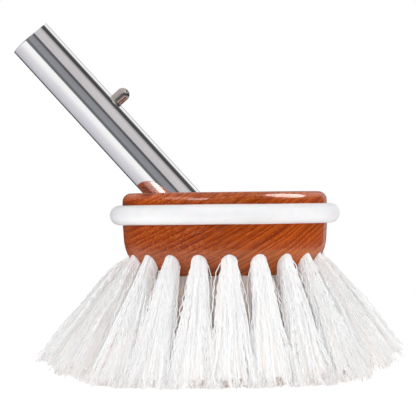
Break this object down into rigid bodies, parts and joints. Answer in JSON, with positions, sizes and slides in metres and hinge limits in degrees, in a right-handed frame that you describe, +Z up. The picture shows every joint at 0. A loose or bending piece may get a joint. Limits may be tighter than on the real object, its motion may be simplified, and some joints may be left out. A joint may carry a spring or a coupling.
{
  "type": "deck brush",
  "caption": "Round wooden deck brush with splayed white bristle tufts, a soft bumper ring and an angled steel handle tube whose spring button locks into a pole.",
  "frame": {"origin": "on the block's axis, level with the bristle tips that the brush rests on", "axes": "+Z up along the block's axis; the handle tube leans towards -X; -Y is the front that the picture shows"},
  "size_m": [0.2287, 0.1719, 0.2117],
  "materials": {
    "varnished_wood": "glossy clear varnish over red-brown hardwood",
    "white_vinyl": "satin white soft vinyl",
    "polished_steel": "polished stainless steel",
    "white_bristle": "crimped white synthetic filaments"
  },
  "bodies": {
    "brush": {"block": "varnished_wood", "bumper_ring": "white_vinyl", "button_spring": "polished_steel", "centre_tuft": "white_bristle", "handle_tube": "polished_steel", "inner_tuft_01": "white_bristle", "inner_tuft_02": "white_bristle", "inner_tuft_03": "white_bristle", "inner_tuft_04": "white_bristle", "inner_tuft_05": "white_bristle", "outer_tuft_01": "white_bristle", "outer_tuft_02": "white_bristle", "outer_tuft_03": "white_bristle", "outer_tuft_04": "white_bristle", "outer_tuft_05": "white_bristle", "outer_tuft_06": "white_bristle", "outer_tuft_07": "white_bristle", "outer_tuft_08": "white_bristle", "outer_tuft_09": "white_bristle", "outer_tuft_10": "white_bristle", "outer_tuft_11": "white_bristle", "outer_tuft_12": "white_bristle", "outer_tuft_13": "white_bristle", "outer_tuft_14": "white_bristle", "outer_tuft_15": "white_bristle", "outer_tuft_16": "white_bristle", "outer_tuft_17": "white_bristle", "outer_tuft_18": "white_bristle", "outer_tuft_19": "white_bristle", "outer_tuft_20": "white_bristle", "second_tuft_01": "white_bristle", "second_tuft_02": "white_bristle", "second_tuft_03": "white_bristle", "second_tuft_04": "white_bristle", "second_tuft_05": "white_bristle", "second_tuft_06": "white_bristle", "second_tuft_07": "white_bristle", "second_tuft_08": "white_bristle", "second_tuft_09": "white_bristle", "second_tuft_10": "white_bristle", "second_tuft_11": "white_bristle", "second_tuft_12": "white_bristle", "second_tuft_13": "white_bristle", "second_tuft_14": "white_bristle", "third_tuft_01": "white_bristle", "third_tuft_02": "white_bristle", "third_tuft_03": "white_bristle", "third_tuft_04": "white_bristle", "third_tuft_05": "white_bristle", "third_tuft_06": "white_bristle", "third_tuft_07": "white_bristle", "third_tuft_08": "white_bristle", "third_tuft_09": "white_bristle", "third_tuft_10": "white_bristle", "tube_screw": "polished_steel"},
    "button": {"snap_button": "polished_steel"}
  },
  "joints": [
    {"name": "button_press", "type": "slide", "parent": "brush", "child": "button", "axis": [-0.7466, 0, -0.6652], "range_m": [0, 0.009], "stiffness_N_per_m": 700, "springref_m": -0.006, "deforming": ["button_spring"]}
  ]
}
